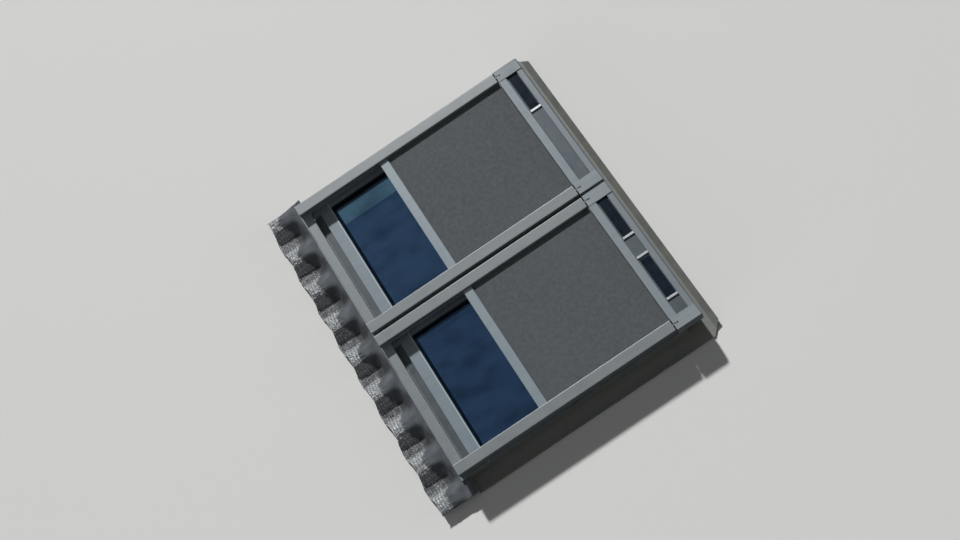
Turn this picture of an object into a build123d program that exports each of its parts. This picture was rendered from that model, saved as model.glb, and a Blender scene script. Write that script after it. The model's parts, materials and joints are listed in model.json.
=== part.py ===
from build123d import *
import os
from math import atan2, cos, radians, sqrt, tan

# A pair of centre-pivot roof windows, coupled side by side in one flashing.
# Each window has a timber frame and sash, double glazing, aluminium covers,
# and an outside screen that rolls out of a head cassette between two guide rails.
# The guides are hinged at the cassette and rest on shoes at the foot of the sash,
# so they lift by half the angle that the sash opens.
# X runs along the eaves, Y up the slope and Z out of the roof, in millimetres.
# The origin is the centre of the whole footprint, on the plane of the battens.

# Windows and their spacing
window_width = 780.0
window_length = 1180.0
window_gap = 18.0

# Timber frame
jamb_width = 36.0
frame_depth = 84.0
sill_step = 22.0
sill_width = 36.0
head_width = 36.0
timber_round = 2.0
lining_groove_height = 10.0
lining_groove_depth = 8.0
lining_groove_from_room = 12.0

# Timber sash
sash_side_gap = 4.0
sash_end_gap = 5.0
stile_width = 44.0
bottom_rail_width = 90.0
top_rail_width = 74.0
sash_sink = 54.0
sash_depth = 50.0
rebate_depth = 20.0
rebate_edge = 8.0

# Sealed glazing
pane_thickness = 4.0
pane_spacing = 16.0
glass_edge_gap = 2.0
spacer_width = 12.0
spacer_inset = 4.0
bottom_glass_lap = 34.0

# Sheet and extruded covers
sheet = 2.0
cover_wall = 3.0
cover_gap = 0.5
cover_overlap = 12.0
cover_cut_below_pivot = 34.0
cover_cut_above_pivot = 16.0
side_cover_thickness = 5.5
jamb_cover_drop = 44.0
glass_cover_reach = 18.0
lip_reach = 20.0
bottom_cover_wall = 4.0
bottom_cover_reach = 20.0
bottom_cover_start = 36.0
sill_cover_reach = 37.0
sill_cover_drop = 12.0
sill_cover_wall = 4.0

# Sash pivot
pivot_above_middle = 5.0
pivot_below_frame_top = 22.0
pivot_pin_radius = 5.0
pivot_collar = 4.0
pivot_sleeve_wall = 3.0
pivot_sleeve_length = 14.0
pivot_plate_length = 80.0
pivot_plate_height = 26.0
pivot_plate_round = 8.5
pivot_plate_thickness = 2.0

# Guide rails
rail_width = 56.0
rail_height = 52.0
rail_above_frame = 88.0
rail_wall = 3.0
rail_round = 4.0
rail_eave_overhang = 25.0
rail_head_gap = 6.0
rail_cassette_gap = 4.0
slot_height = 8.0
slot_depth = 20.0
foot_length = 40.0
foot_drop = 14.0
cross_bar_width = 45.0
cross_bar_height = 16.0
cross_bar_drop = 48.0
cross_bar_wall = 2.5
bar_edge_round = 1.5

# Guide hinge and the shoes that carry the guides
guide_hinge_from_head = 27.0
guide_hinge_below_top = 10.0
guide_pin_radius = 3.0
ear_radius = 8.0
ear_thickness = 5.0
ear_inset = 28.0
ear_root = 25.0
shoe_radius = 8.0
shoe_width = 20.0
shoe_above_frame = 20.0
runner_width = 28.0

# Screen
screen_below_top = 22.0
fabric_thickness = 1.0
fabric_side_inset = 50.0
bar_width = 45.0
bar_height = 14.0
bar_wall = 2.0
bar_from_eave_share = 0.37
tongue_inset = 38.0
tongue_end_gap = 3.0
plug_length = 10.0
roll_radius = 21.2
journal_radius = 6.0
journal_length = 10.0

# Cassette
cassette_length = 135.0
cassette_back_slope = 7.0
cassette_wall = 3.0
cassette_side = 3.5
cassette_edge = 1.5
front_bar_width = 38.0
front_bar_drop = 2.0
front_bar_slope = 5.0
shelf_width = 58.0
shelf_drop = 12.0
back_lip_drop = 4.0
cassette_front_gap = 7.0
screen_slot_height = 12.0
roll_from_front = 58.0
roll_clearance = 5.0
cell_share = 0.327
cell_length = 50.0
cell_thickness = 3.0
cell_side_gap = 2.0
cell_rib_width = 10.0
cell_rib_height = 7.0
cell_rib_gap = 0.5
second_cell_share = 0.538

# Control bar on the room side
bar_grip_width = 520.0
bar_grip_depth = 12.0
bar_grip_reach = 42.0
bar_grip_wall = 3.0
bar_knuckle_radius = 5.0
bar_knuckle_width = 30.0
bar_knuckle_from_end = 20.0
bar_knuckle_sink = 3.0

# Flashing
flash_sheet = 1.5
side_pan_width = 80.0
side_pan_height = 8.0
side_upstand_drop = 4.0
side_upturn = 16.0
side_hem_width = 4.5
head_reach = 150.0
head_slope_length = 30.0
head_slope_rise = 18.0
head_upstand_rise = 6.0
head_corner_cut = 55.0
gutter_depth = 20.0

# Dressed apron over the tile waves
apron_reach = 215.0
apron_thickness = 2.0
tile_pitch = 206.0
tile_crest_x = 4.0
wave_low = 4.0
wave_high = 64.0
wave_steepness = 0.1
wave_edge_gap = 5.0
apron_flat = 40.0
apron_wave_share = (0.0, 0.45, 0.9, 1.0)
apron_wave_place = (0.0, 0.2, 0.42, 1.0)

# Mounting brackets
bracket_width = 60.0
bracket_leg = 45.0
bracket_height = 50.0
bracket_thickness = 3.0
bracket_offset = 250.0
bracket_hole_radius = 3.0
bracket_hole_spacing = 36.0
bracket_hole_reach = 25.0

# Clearances
seat = 0.3
running_fit = 0.05
side_play = 1.0
end_play = 2.0

# Heights
sill_depth = frame_depth - sill_step
sill_cover_top = sill_depth + sill_cover_wall
sash_underside = frame_depth - sash_sink
sash_top = sash_underside + sash_depth
glass_seat = sash_top - rebate_depth
glass_top = glass_seat + 2 * pane_thickness + pane_spacing
jamb_cover_top = frame_depth + sheet
bead_top = glass_top + cover_wall
side_cover_low = bead_top + cover_gap
side_cover_top = side_cover_low + side_cover_thickness
lip_low = sill_cover_top + sheet
pivot_height = frame_depth - pivot_below_frame_top
shoe_centre_height = frame_depth + shoe_above_frame
rail_top = frame_depth + rail_above_frame
rail_bottom = rail_top - rail_height
screen_z = rail_top - screen_below_top
slot_low = screen_z - slot_height / 2
slot_high = screen_z + slot_height / 2
roll_z = screen_z - fabric_thickness / 2 - seat - roll_radius
knuckle_z = sash_underside - bar_knuckle_sink

# Places along the slope
overall_length = apron_reach + window_length + head_reach
frame_eave = apron_reach - overall_length / 2
frame_head = frame_eave + window_length
pivot_y = frame_eave + window_length / 2 + pivot_above_middle
sash_eave = frame_eave + sill_width + sash_end_gap
sash_head = frame_head - head_width - sash_end_gap
glass_eave = sash_eave + bottom_rail_width - bottom_glass_lap
glass_head = sash_head - top_rail_width / 2
lip_eave = sash_eave - lip_reach
bottom_cover_eave = lip_eave + bottom_cover_start
knuckle_y = sash_head - bar_knuckle_from_end
cassette_front = frame_head - head_width - cassette_front_gap
cassette_back = cassette_front + cassette_length
rail_eave = frame_eave - rail_eave_overhang
rail_head = cassette_front - rail_cassette_gap
end_front = rail_head + rail_head_gap
bar_eave = frame_eave + bar_from_eave_share * window_length
roll_y = cassette_front + roll_from_front

# Places across the slope, as insets from a window's edge
overall_width = 2 * window_width + window_gap + 2 * side_pan_width
window_centre = (window_width + window_gap) / 2
stile_outer = jamb_width + sash_side_gap
stile_inner = stile_outer + stile_width
glass_side = stile_outer + rebate_edge + glass_edge_gap
bead_outer = stile_outer + sheet
bead_reach = glass_side + glass_cover_reach
upper_cover_reach = glass_side + cover_overlap
lower_cover_inset = jamb_width - cover_overlap
pin_tip_inset = jamb_width - pivot_sleeve_length + end_play
sleeve_radius = pivot_pin_radius + pivot_sleeve_wall
shoe_inset = lower_cover_inset + shoe_width / 2 + side_play
end_inner_inset = rail_width + cassette_side
roll_inset = fabric_side_inset - end_play
journal_inset = roll_inset - journal_length
knuckle_offset = (bar_grip_width - bar_knuckle_width) / 2

# Guide geometry: hinge and shoe lie on one circle about the sash pivot,
# so the line from hinge to shoe turns by exactly half the sash angle.
hinge_y = frame_head - guide_hinge_from_head
hinge_z = rail_top - guide_hinge_below_top
hinge_circle = sqrt((hinge_y - pivot_y) ** 2 + (hinge_z - pivot_height) ** 2)
shoe_y = pivot_y - sqrt(hinge_circle ** 2 - (shoe_centre_height - pivot_height) ** 2)
runner_slope = atan2(hinge_z - shoe_centre_height, hinge_y - shoe_y)
runner_eave = shoe_y - shoe_radius


def runner_height(y):
    """Height of the runner's sloped face, just clear of the round top of the shoe."""
    reach = (shoe_radius + seat) / cos(runner_slope)
    return shoe_centre_height + reach + (y - shoe_y) * tan(runner_slope)


runner_end = runner_eave + (rail_bottom - runner_height(runner_eave)) / tan(runner_slope)

# Cells and ribs on the cassette shelf, from the left end of the shelf
shelf_length = window_width - 2 * end_inner_inset
cell_width = cell_share * shelf_length
second_cell = second_cell_share * shelf_length
rib_after_first = cell_side_gap + cell_width + cell_rib_gap
cell_places = {
    "left": (cell_side_gap,),
    "right": (cell_side_gap, second_cell),
}
rib_places = {
    "left": (rib_after_first,),
    "right": (
        rib_after_first,
        second_cell - 2 * cell_rib_width - cell_side_gap,
        second_cell + cell_width + cell_rib_gap,
    ),
}

windows = (
    ("left", -window_centre, -1),
    ("right", window_centre, 1),
)

parts = []


def finish(part, label):
    part.label = label
    parts.append(part)


def across(y):
    """A sketch plane across the window at y, drawn in X and Z, facing the eaves."""
    return Plane.XZ.offset(-y)


def along(x):
    """A sketch plane along the slope at x, drawn in Y and Z, facing +X."""
    return Plane.YZ.offset(x)


def block(a0, a1, b0, b1, mode=Mode.ADD):
    """A rectangle between two opposite corners of the sketch being drawn."""
    with Locations(((a0 + a1) / 2, (b0 + b1) / 2)):
        Rectangle(abs(a1 - a0), abs(b1 - b0), mode=mode)


def outline(points, mode=Mode.ADD):
    """A closed straight-sided outline in the sketch being drawn."""
    with BuildLine() as line:
        Polyline(*points, close=True)
    make_face(line.edges(), mode=mode)


def edge_x(centre, end, inset):
    """X of a place set in from the left (-1) or right (1) edge of a window."""
    return centre + end * (window_width / 2 - inset)


def side_block(centre, end, inset0, inset1, z0, z1, mode=Mode.ADD):
    """A rectangle across the slope, given by insets from one edge of a window."""
    block(edge_x(centre, end, inset0), edge_x(centre, end, inset1), z0, z1, mode)


def extrude_between(centre, inset, profile):
    """Extrude a profile drawn along the slope from one side inset to the other."""
    with BuildSketch(along(edge_x(centre, -1, inset))) as section:
        profile()
    extrude(section.sketch, amount=window_width - 2 * inset)


def frame_jamb(centre, end, label):
    with BuildPart() as jamb:
        with BuildSketch(across(frame_head)):
            side_block(centre, end, sheet, jamb_width, 0, frame_depth)
            side_block(centre, end, jamb_width - lining_groove_depth, jamb_width,
                       lining_groove_from_room, lining_groove_from_room + lining_groove_height,
                       Mode.SUBTRACT)
        extrude(amount=window_length)
        fillet(jamb.edges().filter_by(Axis.Y).group_by(Axis.Z)[0], timber_round)
        with BuildSketch(along(edge_x(centre, end, jamb_width))):
            with Locations((pivot_y, pivot_height)):
                Circle(sleeve_radius + running_fit)
        extrude(amount=end * (pivot_sleeve_length + seat), mode=Mode.SUBTRACT)
    finish(jamb.part, label)


def frame_head_rail(centre, label):
    inner_face = frame_head - head_width
    with BuildPart() as head:
        with BuildSketch(along(edge_x(centre, -1, jamb_width))):
            block(inner_face, frame_head, 0, frame_depth)
            block(inner_face, inner_face + lining_groove_depth, lining_groove_from_room,
                  lining_groove_from_room + lining_groove_height, Mode.SUBTRACT)
        extrude(amount=window_width - 2 * jamb_width)
        with BuildSketch(along(edge_x(centre, -1, upper_cover_reach + sheet))):
            block(inner_face + sheet, frame_head, frame_depth, side_cover_top)
        extrude(amount=window_width - 2 * (upper_cover_reach + sheet))
        fillet(head.edges().filter_by(Axis.X).group_by(Axis.Z)[0], timber_round)
    finish(head.part, label)


def frame_sill(centre, label):
    inner_face = frame_eave + sill_width
    with BuildPart() as sill:
        with BuildSketch(along(edge_x(centre, -1, jamb_width))):
            block(frame_eave, inner_face, 0, sill_depth)
            block(inner_face - lining_groove_depth, inner_face, lining_groove_from_room,
                  lining_groove_from_room + lining_groove_height, Mode.SUBTRACT)
        extrude(amount=window_width - 2 * jamb_width)
        fillet(sill.edges().filter_by(Axis.X).group_by(Axis.Z)[0], timber_round)
    finish(sill.part, label)


def sill_cover(centre, label):
    lip_edge = frame_eave - sill_cover_reach
    left = edge_x(centre, -1, 0)
    right = edge_x(centre, 1, 0)
    with BuildPart() as cover:
        with BuildSketch(Plane.XY.offset(sill_depth)):
            block(left, right, lip_edge, frame_eave)
            block(left + jamb_width + seat, right - jamb_width - seat, frame_eave,
                  frame_eave + sill_width)
        extrude(amount=sill_cover_wall)
        with BuildSketch(Plane.XY.offset(sill_depth)):
            block(left, right, lip_edge, lip_edge + cover_wall)
        extrude(amount=-sill_cover_drop)
        fillet(cover.edges().filter_by(Axis.X).group_by(Axis.Y)[0].sort_by(Axis.Z)[-1], sheet)
    finish(cover.part, label)


def jamb_covers(centre, label):
    """Angles over both jambs, widened over the sash above the pivot."""
    with BuildPart() as covers:
        for end in (-1, 1):
            with BuildSketch(across(frame_head)):
                side_block(centre, end, 0, sheet, frame_depth - jamb_cover_drop, jamb_cover_top)
                side_block(centre, end, 0, jamb_width, frame_depth, jamb_cover_top)
            extrude(amount=window_length)
            with BuildSketch(across(frame_eave)):
                side_block(centre, end, 0, jamb_width, sill_cover_top, jamb_cover_top)
            extrude(amount=sheet)
            with BuildSketch(across(sash_head)):
                side_block(centre, end, 0, cover_wall, jamb_cover_top, side_cover_top)
                side_block(centre, end, 0, upper_cover_reach, side_cover_low, side_cover_top)
            extrude(amount=sash_head - pivot_y - cover_cut_above_pivot)
            with BuildSketch(across(frame_head)):
                side_block(centre, end, 0, jamb_width, jamb_cover_top, side_cover_top)
            extrude(amount=frame_head - sash_head)
    finish(covers.part, label)


def sash_stile(centre, end, label):
    with BuildPart() as stile:
        with BuildSketch(across(sash_head)):
            side_block(centre, end, stile_outer, stile_inner, sash_underside, glass_seat)
            side_block(centre, end, stile_outer, stile_outer + rebate_edge, glass_seat, sash_top)
        extrude(amount=sash_head - sash_eave)
        fillet(stile.edges().filter_by(Axis.Y).group_by(Axis.Z)[0], timber_round)
        with BuildSketch(along(edge_x(centre, end, stile_outer))):
            with Locations((pivot_y, pivot_height)):
                Circle(pivot_pin_radius + running_fit)
        extrude(amount=-end * rebate_edge, mode=Mode.SUBTRACT)
    finish(stile.part, label)


def sash_bottom_rail(centre, label):
    inner_edge = sash_eave + bottom_rail_width
    shoulder = bottom_cover_eave + cover_wall + glass_edge_gap

    def profile():
        outline([
            (sash_eave, sash_underside),
            (inner_edge, sash_underside),
            (inner_edge, glass_seat),
            (glass_eave - glass_edge_gap, glass_seat),
            (glass_eave - glass_edge_gap, sash_top),
            (shoulder, sash_top),
            (shoulder, sill_cover_top),
            (sash_eave, sill_cover_top),
        ])

    with BuildPart() as rail:
        extrude_between(centre, stile_inner, profile)
        fillet(rail.edges().filter_by(Axis.X).group_by(Axis.Z)[0], timber_round)
    finish(rail.part, label)


def sash_top_rail(centre, label):
    inner_edge = sash_head - top_rail_width

    def profile():
        outline([
            (inner_edge, sash_underside),
            (sash_head, sash_underside),
            (sash_head, sash_top),
            (glass_head + glass_edge_gap, sash_top),
            (glass_head + glass_edge_gap, glass_seat),
            (inner_edge, glass_seat),
        ])

    with BuildPart() as rail:
        extrude_between(centre, stile_inner, profile)
        fillet(rail.edges().filter_by(Axis.X).group_by(Axis.Z)[0], timber_round)
        for end in (-1, 1):
            with BuildSketch(along(centre + end * knuckle_offset)):
                with Locations((knuckle_y, knuckle_z)):
                    Circle(bar_knuckle_radius + seat)
            extrude(amount=bar_knuckle_width / 2 + side_play, both=True, mode=Mode.SUBTRACT)
    finish(rail.part, label)


def glass_panes(centre, label):
    """Inner and outer pane of one sealed unit."""
    with BuildPart() as panes:
        for low in (glass_seat, glass_top - pane_thickness):
            with BuildSketch(Plane.XY.offset(low)):
                block(edge_x(centre, -1, glass_side), edge_x(centre, 1, glass_side),
                      glass_eave, glass_head)
            extrude(amount=pane_thickness)
    finish(panes.part, label)


def glass_spacer(centre, label):
    outer = glass_side + spacer_inset
    inner = outer + spacer_width
    with BuildPart() as spacer:
        with BuildSketch(Plane.XY.offset(glass_seat + pane_thickness)):
            block(edge_x(centre, -1, outer), edge_x(centre, 1, outer),
                  glass_eave + spacer_inset, glass_head - spacer_inset)
            block(edge_x(centre, -1, inner), edge_x(centre, 1, inner),
                  glass_eave + spacer_inset + spacer_width,
                  glass_head - spacer_inset - spacer_width, Mode.SUBTRACT)
        extrude(amount=pane_spacing)
    finish(spacer.part, label)


def sash_bottom_cover(centre, label):
    """Folded cover: a low lip over the sill with closed ends, a step up and a foot on the glass."""
    glass_edge = glass_eave + bottom_cover_reach
    top = bead_top + bottom_cover_wall
    inset = bead_reach + seat

    def profile():
        block(lip_eave, bottom_cover_eave + cover_wall, lip_low, lip_low + bottom_cover_wall)
        block(bottom_cover_eave, bottom_cover_eave + cover_wall, lip_low, top)
        block(bottom_cover_eave, glass_edge, bead_top, top)
        block(glass_edge - cover_wall, glass_edge, glass_top, top)

    with BuildPart() as cover:
        extrude_between(centre, inset, profile)
        fillet(cover.edges().filter_by(Axis.X).group_by(Axis.Z)[-1], sheet)
        for end in (-1, 1):
            with BuildSketch(along(edge_x(centre, end, inset))):
                block(lip_eave, bottom_cover_eave + cover_wall, lip_low, bead_top)
            extrude(amount=-end * sheet)
    finish(cover.part, label)


def sash_side_covers(centre, label):
    """Glazing beads down both sides, widened over the jambs below the pivot."""
    with BuildPart() as covers:
        for end in (-1, 1):
            with BuildSketch(across(sash_head)):
                side_block(centre, end, bead_outer, bead_reach, glass_top, bead_top)
                side_block(centre, end, bead_outer, glass_side - glass_edge_gap, sash_top,
                           bead_top)
            extrude(amount=sash_head - sash_eave)
            with BuildSketch(across(pivot_y - cover_cut_below_pivot)):
                side_block(centre, end, lower_cover_inset, bead_reach, bead_top,
                           side_cover_top)
            extrude(amount=pivot_y - cover_cut_below_pivot - lip_eave)
    finish(covers.part, label)


def sash_top_cover(centre, label):
    def profile():
        block(glass_head - bottom_cover_reach, sash_head, glass_top, bead_top)
        block(glass_head + glass_edge_gap, sash_head, sash_top, bead_top)

    with BuildPart() as cover:
        extrude_between(centre, bead_reach + seat, profile)
    finish(cover.part, label)


def pivot_pins(centre, label):
    """Stub axles in the stiles, each with a collar against the timber."""
    pin_root_inset = stile_outer + rebate_edge - side_play
    with BuildPart() as pins:
        for end in (-1, 1):
            with BuildSketch(along(edge_x(centre, end, pin_root_inset))):
                with Locations((pivot_y, pivot_height)):
                    Circle(pivot_pin_radius)
            extrude(amount=end * (pin_root_inset - pin_tip_inset))
            with BuildSketch(along(edge_x(centre, end, stile_outer))):
                with Locations((pivot_y, pivot_height)):
                    Circle(pivot_pin_radius + pivot_collar)
            extrude(amount=end * (sash_side_gap - pivot_plate_thickness - cover_gap))
    finish(pins.part, label)


def pivot_plates(label):
    """Frame plates with their sleeves, one on each jamb."""
    with BuildPart() as plates:
        for centre in (-window_centre, window_centre):
            for end in (-1, 1):
                face = edge_x(centre, end, jamb_width)
                with BuildSketch(along(face)):
                    with Locations((pivot_y, pivot_height)):
                        RectangleRounded(pivot_plate_length, pivot_plate_height,
                                         pivot_plate_round)
                extrude(amount=-end * pivot_plate_thickness)
                with BuildSketch(along(face)):
                    with Locations((pivot_y, pivot_height)):
                        Circle(sleeve_radius)
                extrude(amount=end * pivot_sleeve_length)
                with BuildSketch(along(face - end * pivot_plate_thickness)):
                    with Locations((pivot_y, pivot_height)):
                        Circle(pivot_pin_radius + running_fit)
                extrude(amount=end * (pivot_sleeve_length + pivot_plate_thickness),
                        mode=Mode.SUBTRACT)
    finish(plates.part, label)


def slide_shoes(centre, label):
    """Round-topped blocks at the foot of the sash that carry the guide rails."""
    with BuildPart() as shoes:
        for end in (-1, 1):
            middle = edge_x(centre, end, shoe_inset)
            with BuildSketch(along(middle)):
                block(shoe_y - shoe_radius, shoe_y + shoe_radius, side_cover_top,
                      shoe_centre_height)
                with Locations((shoe_y, shoe_centre_height)):
                    Circle(shoe_radius)
            extrude(amount=shoe_width / 2, both=True)
    finish(shoes.part, label)


def guide_rail(centre, end, label):
    """Extruded rail with its screen slot, end foot, sloped runner and hinge ear."""
    slot_mouth = rail_width - slot_depth
    with BuildPart() as rail:
        with BuildSketch(across(rail_head)) as section:
            side_block(centre, end, 0, rail_width, rail_bottom, rail_top)
            fillet(section.vertices().group_by(Axis.Y)[-1], rail_round)
            side_block(centre, end, rail_wall, rail_width - rail_wall,
                       rail_bottom + rail_wall, slot_low - rail_wall, Mode.SUBTRACT)
            side_block(centre, end, rail_wall, slot_mouth - rail_wall, slot_low,
                       rail_top - rail_wall, Mode.SUBTRACT)
            side_block(centre, end, slot_mouth, rail_width - rail_wall,
                       slot_high + rail_wall, rail_top - rail_wall, Mode.SUBTRACT)
            side_block(centre, end, slot_mouth, rail_width, slot_low, slot_high,
                       Mode.SUBTRACT)
        extrude(amount=rail_head - rail_eave)
        with BuildSketch(across(rail_eave + foot_length)):
            side_block(centre, end, 0, rail_width, rail_bottom - foot_drop, rail_bottom)
        extrude(amount=foot_length)
        with BuildSketch(across(rail_eave + rail_wall)):
            side_block(centre, end, rail_wall, rail_width, rail_bottom + rail_wall,
                       rail_top - rail_wall)
        extrude(amount=rail_wall)
        with BuildSketch(along(edge_x(centre, end, shoe_inset))):
            outline([
                (runner_eave, rail_bottom),
                (runner_eave, runner_height(runner_eave)),
                (runner_end, rail_bottom),
            ])
        extrude(amount=runner_width / 2, both=True)
        with BuildSketch(along(edge_x(centre, end, ear_inset))):
            block(rail_head - ear_root, hinge_y, hinge_z - ear_radius, hinge_z + ear_radius)
            with Locations((hinge_y, hinge_z)):
                Circle(ear_radius)
                Circle(guide_pin_radius + running_fit, mode=Mode.SUBTRACT)
        extrude(amount=ear_thickness / 2, both=True)
    finish(rail.part, label)


def cross_bar(centre, label):
    """Hollow bar that ties the feet of one window's guide rails."""
    top = rail_top - cross_bar_drop

    def profile():
        block(rail_eave, rail_eave + cross_bar_width, top - cross_bar_height, top)
        block(rail_eave + cross_bar_wall, rail_eave + cross_bar_width - cross_bar_wall,
              top - cross_bar_height + cross_bar_wall, top - cross_bar_wall, Mode.SUBTRACT)

    with BuildPart() as bar:
        extrude_between(centre, rail_width, profile)
        fillet(bar.edges().filter_by(Axis.X).group_by(Axis.Z)[-1], bar_edge_round)
    finish(bar.part, label)


def screen_bar(centre, label):
    """Hollow pull bar of the screen, with end plugs that run in the guide slots."""
    low = screen_z - bar_height / 2
    plug_inset = rail_width + side_play

    def profile():
        block(bar_eave, bar_eave + bar_width, low, low + bar_height)
        block(bar_eave + bar_wall, bar_eave + bar_width - bar_wall, low + bar_wall,
              low + bar_height - bar_wall, Mode.SUBTRACT)

    with BuildPart() as bar:
        extrude_between(centre, plug_inset, profile)
        fillet(bar.edges().filter_by(Axis.X).group_by(Axis.Z)[-1], bar_edge_round)
        for end in (-1, 1):
            with BuildSketch(along(edge_x(centre, end, plug_inset + plug_length))):
                block(bar_eave + bar_wall, bar_eave + bar_width - bar_wall, low + bar_wall,
                      low + bar_height - bar_wall)
            extrude(amount=end * plug_length)
            with BuildSketch(along(edge_x(centre, end, plug_inset))):
                block(bar_eave + tongue_end_gap, bar_eave + bar_width - tongue_end_gap,
                      slot_low + seat, slot_high - seat)
            extrude(amount=end * (plug_inset - tongue_inset))
    finish(bar.part, label)


def screen_fabric(centre, label):
    """Cloth from the pull bar up to the top of the roll."""
    with BuildPart() as cloth:
        with BuildSketch(Plane.XY.offset(screen_z - fabric_thickness / 2)):
            block(edge_x(centre, -1, fabric_side_inset), edge_x(centre, 1, fabric_side_inset),
                  bar_eave + bar_width + seat, roll_y)
        extrude(amount=fabric_thickness)
    finish(cloth.part, label)


def roller_tube(centre, label):
    with BuildPart() as tube:
        for radius, inset in ((roll_radius, roll_inset), (journal_radius, journal_inset)):
            with BuildSketch(along(edge_x(centre, -1, inset))):
                with Locations((roll_y, roll_z)):
                    Circle(radius)
            extrude(amount=window_width - 2 * inset)
    finish(tube.part, label)


def cassette_ends(centre, label):
    """End castings: roll bearing inside, hinge pin for the guide rail in a front pocket."""
    recess = roll_radius + roll_clearance
    with BuildPart() as ends:
        for end in (-1, 1):
            inner_x = edge_x(centre, end, end_inner_inset)
            depth = end_inner_inset - roll_inset + end_play
            with BuildSketch(along(inner_x)):
                outline([
                    (end_front, side_cover_top),
                    (end_front, rail_top),
                    (cassette_back - cassette_back_slope, rail_top),
                    (cassette_back, rail_top - shelf_drop),
                    (cassette_back, side_cover_top),
                ])
            extrude(amount=end * (end_inner_inset + cassette_edge))
            with BuildSketch(along(inner_x)):
                with Locations((roll_y, roll_z)):
                    Circle(recess)
                block(end_front, roll_y, screen_z - screen_slot_height / 2,
                      screen_z + screen_slot_height / 2)
            extrude(amount=end * depth, mode=Mode.SUBTRACT)
            with BuildSketch(along(inner_x)):
                with Locations((roll_y, roll_z)):
                    Circle(journal_radius + running_fit)
            extrude(amount=end * (end_inner_inset - journal_inset + seat), mode=Mode.SUBTRACT)
            with BuildSketch(along(edge_x(centre, end, ear_inset))):
                block(end_front, hinge_y + ear_radius + end_play,
                      hinge_z - ear_radius - end_play, rail_top)
            extrude(amount=ear_thickness / 2 + side_play, both=True, mode=Mode.SUBTRACT)
            with BuildSketch(along(edge_x(centre, end, ear_inset))):
                with Locations((hinge_y, hinge_z)):
                    Circle(guide_pin_radius)
            extrude(amount=ear_thickness / 2 + end_play, both=True)
    finish(ends.part, label)


def cassette_housing(centre, rib_offsets, label):
    """One extrusion: front bar, recessed shelf for the cells, back lip and roll chamber."""
    bar_top = rail_top - front_bar_drop
    shelf = rail_top - shelf_drop
    shelf_front = cassette_front + front_bar_width + front_bar_slope
    shelf_back = shelf_front + shelf_width
    lip_top = rail_top - back_lip_drop
    ceiling = shelf - cassette_wall
    floor = side_cover_top + cassette_wall
    chamber_back = roll_y + roll_radius + roll_clearance

    def profile():
        outline([
            (cassette_front, side_cover_top),
            (cassette_front, bar_top),
            (cassette_front + front_bar_width, bar_top),
            (shelf_front, shelf),
            (shelf_back, shelf),
            (shelf_back, lip_top),
            (cassette_back - cassette_back_slope, lip_top),
            (cassette_back, lip_top - shelf_drop),
            (cassette_back, side_cover_top),
        ])
        block(cassette_front + cassette_wall, chamber_back, floor, ceiling, Mode.SUBTRACT)
        block(cassette_front, cassette_front + cassette_wall,
              screen_z - screen_slot_height / 2, screen_z + screen_slot_height / 2,
              Mode.SUBTRACT)
        block(chamber_back + cassette_wall, cassette_back - cassette_back_slope, floor,
              shelf - cassette_wall, Mode.SUBTRACT)

    start = edge_x(centre, -1, end_inner_inset)
    with BuildPart() as housing:
        extrude_between(centre, end_inner_inset, profile)
        with BuildSketch(Plane.XY.offset(shelf)):
            for offset in rib_offsets:
                block(start + offset, start + offset + cell_rib_width, shelf_front, shelf_back)
        extrude(amount=cell_rib_height)
    finish(housing.part, label)


def solar_cells(label):
    """The cells that charge the screen's drive, loose on the cassette shelves."""
    shelf = rail_top - shelf_drop
    middle = cassette_front + front_bar_width + front_bar_slope + shelf_width / 2
    with BuildPart() as cells:
        for name, centre, outward in windows:
            start = edge_x(centre, -1, end_inner_inset)
            with BuildSketch(Plane.XY.offset(shelf)):
                for offset in cell_places[name]:
                    block(start + offset, start + offset + cell_width,
                          middle - cell_length / 2, middle + cell_length / 2)
            extrude(amount=cell_thickness)
    finish(cells.part, label)


def control_bar(centre, label):
    """Angle grip under the sash head, hung on two knuckles."""
    low = knuckle_z - bar_grip_depth - bar_knuckle_radius

    def grip():
        block(knuckle_y - bar_grip_reach, knuckle_y + bar_grip_wall, low, low + bar_grip_wall)
        block(knuckle_y - bar_grip_reach, knuckle_y - bar_grip_reach + bar_grip_wall, low,
              low + bar_grip_depth)

    with BuildPart() as bar:
        extrude_between(centre, (window_width - bar_grip_width) / 2, grip)
        for end in (-1, 1):
            with BuildSketch(along(centre + end * knuckle_offset)):
                block(knuckle_y - bar_grip_wall, knuckle_y + bar_grip_wall, low, knuckle_z)
                with Locations((knuckle_y, knuckle_z)):
                    Circle(bar_knuckle_radius)
            extrude(amount=bar_knuckle_width / 2, both=True)
    finish(bar.part, label)


def side_flashing(end, label):
    """Side gutter: an upstand against the covers, a pan and a turned-up edge."""
    inner = overall_width / 2 - side_pan_width + seat
    outer = overall_width / 2
    low = side_pan_height
    with BuildPart() as flashing:
        with BuildSketch(across(frame_head + bracket_thickness)):
            block(end * inner, end * (inner + flash_sheet), low,
                  frame_depth - side_upstand_drop)
            block(end * inner, end * outer, low, low + flash_sheet)
            block(end * (outer - flash_sheet), end * outer, low, low + side_upturn)
            block(end * (outer - side_hem_width), end * outer,
                  low + side_upturn - flash_sheet, low + side_upturn)
        extrude(amount=window_length + bracket_thickness)
    finish(flashing.part, label)


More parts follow.
